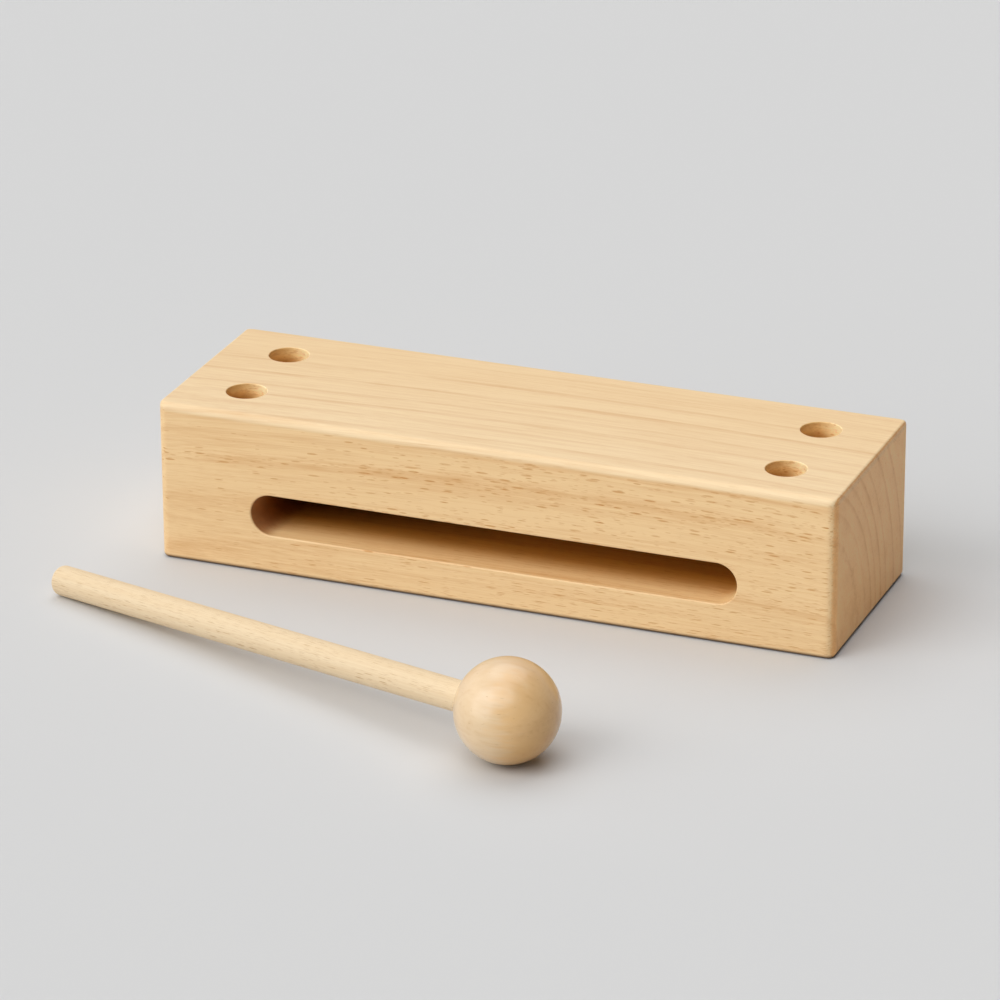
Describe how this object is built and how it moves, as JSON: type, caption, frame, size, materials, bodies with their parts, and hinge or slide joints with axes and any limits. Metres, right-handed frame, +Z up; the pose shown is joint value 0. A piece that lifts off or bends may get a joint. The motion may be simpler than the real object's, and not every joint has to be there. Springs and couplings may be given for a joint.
{
  "type": "tone block with mallet",
  "caption": "Rectangular wooden tone block with a long round-ended slot in its front, round holes in its top and a small ball-headed mallet lying in front of it.",
  "frame": {"origin": "middle of the block's underside, on the surface that the block and the mallet lie on", "axes": "+X along the block, +Y from the slotted front face to the back, +Z up through the drilled top"},
  "size_m": [0.216, 0.1675, 0.047],
  "materials": {
    "block_beech": "steamed beech, planed and sanded, thin satin lacquer",
    "head_beech": "turned beech, sanded smooth, satin lacquer",
    "handle_beech": "pale beech dowel, sanded, nearly bare"
  },
  "bodies": {
    "block": {"block_body": "block_beech"},
    "mallet": {"mallet_head": "head_beech", "mallet_handle": "handle_beech"}
  },
  "joints": [
    {"name": "mallet_lift", "type": "slide", "parent": "block", "child": "mallet", "axis": [0, 0, 1], "range_m": [0, 0.12]}
  ]
}
